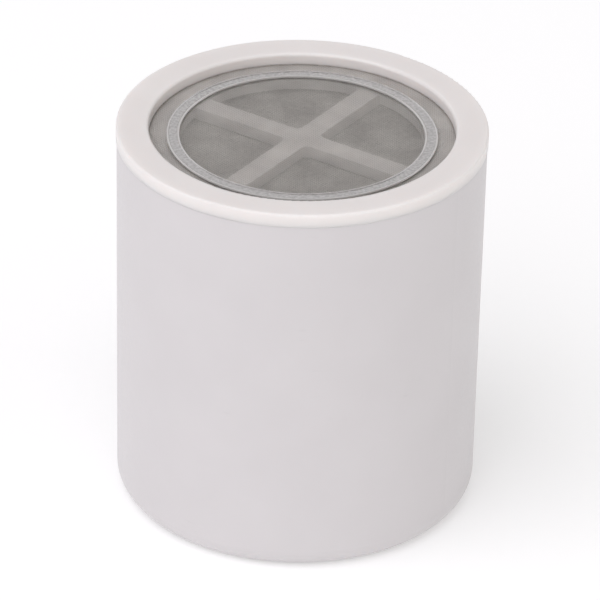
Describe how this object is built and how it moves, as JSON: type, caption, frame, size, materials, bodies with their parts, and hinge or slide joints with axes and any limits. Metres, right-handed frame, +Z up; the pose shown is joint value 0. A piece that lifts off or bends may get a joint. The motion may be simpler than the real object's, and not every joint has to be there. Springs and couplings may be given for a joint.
{
  "type": "shower filter cartridge",
  "caption": "White cylindrical shower filter cartridge with a recessed wire screen over a cross at each end, a clear sealing ring and layered media inside.",
  "frame": {"origin": "centre of the lower rim, on the surface the cartridge stands on", "axes": "+Z up the axis of symmetry to the capped end with the sealing ring; +X along one arm of the crosses"},
  "size_m": [0.06, 0.06, 0.066],
  "materials": {
    "casing_plastic": "satin",
    "cap_plastic": "satin",
    "screen_wire": "satin",
    "clear_silicone": "gloss",
    "white_fibre": "matte",
    "separator_felt": "matte",
    "tourmaline": "matte",
    "alkaline_ceramic": "matte",
    "mineral_ceramic": "matte",
    "zeolite": "matte",
    "carbon": "matte",
    "copper_zinc": "satin",
    "calcium_sulfite": "matte"
  },
  "bodies": {
    "casing_body": {"casing": "casing_plastic", "bottom_screen": "screen_wire", "top_fibre_pad": "white_fibre", "bottom_fibre_pad": "white_fibre", "tourmaline_balls": "tourmaline", "alkaline_balls": "alkaline_ceramic", "mineral_balls": "mineral_ceramic", "zeolite_granules": "zeolite", "carbon_granules": "carbon", "copper_zinc_granules": "copper_zinc", "calcium_sulfite_balls": "calcium_sulfite", "separator_felt_1": "separator_felt", "separator_felt_2": "separator_felt", "separator_felt_3": "separator_felt", "separator_felt_4": "separator_felt", "separator_felt_5": "separator_felt", "separator_felt_6": "separator_felt", "separator_felt_7": "separator_felt", "separator_felt_8": "separator_felt"},
    "cap_body": {"top_cap": "cap_plastic", "top_screen": "screen_wire"},
    "seal_body": {"sealing_ring": "clear_silicone"}
  },
  "joints": [
    {"name": "cap_lift", "type": "slide", "parent": "casing_body", "child": "cap_body", "axis": [0, 0, 1], "range_m": [0, 0.025]},
    {"name": "seal_lift", "type": "slide", "parent": "cap_body", "child": "seal_body", "axis": [0, 0, 1], "range_m": [0, 0.015]}
  ]
}
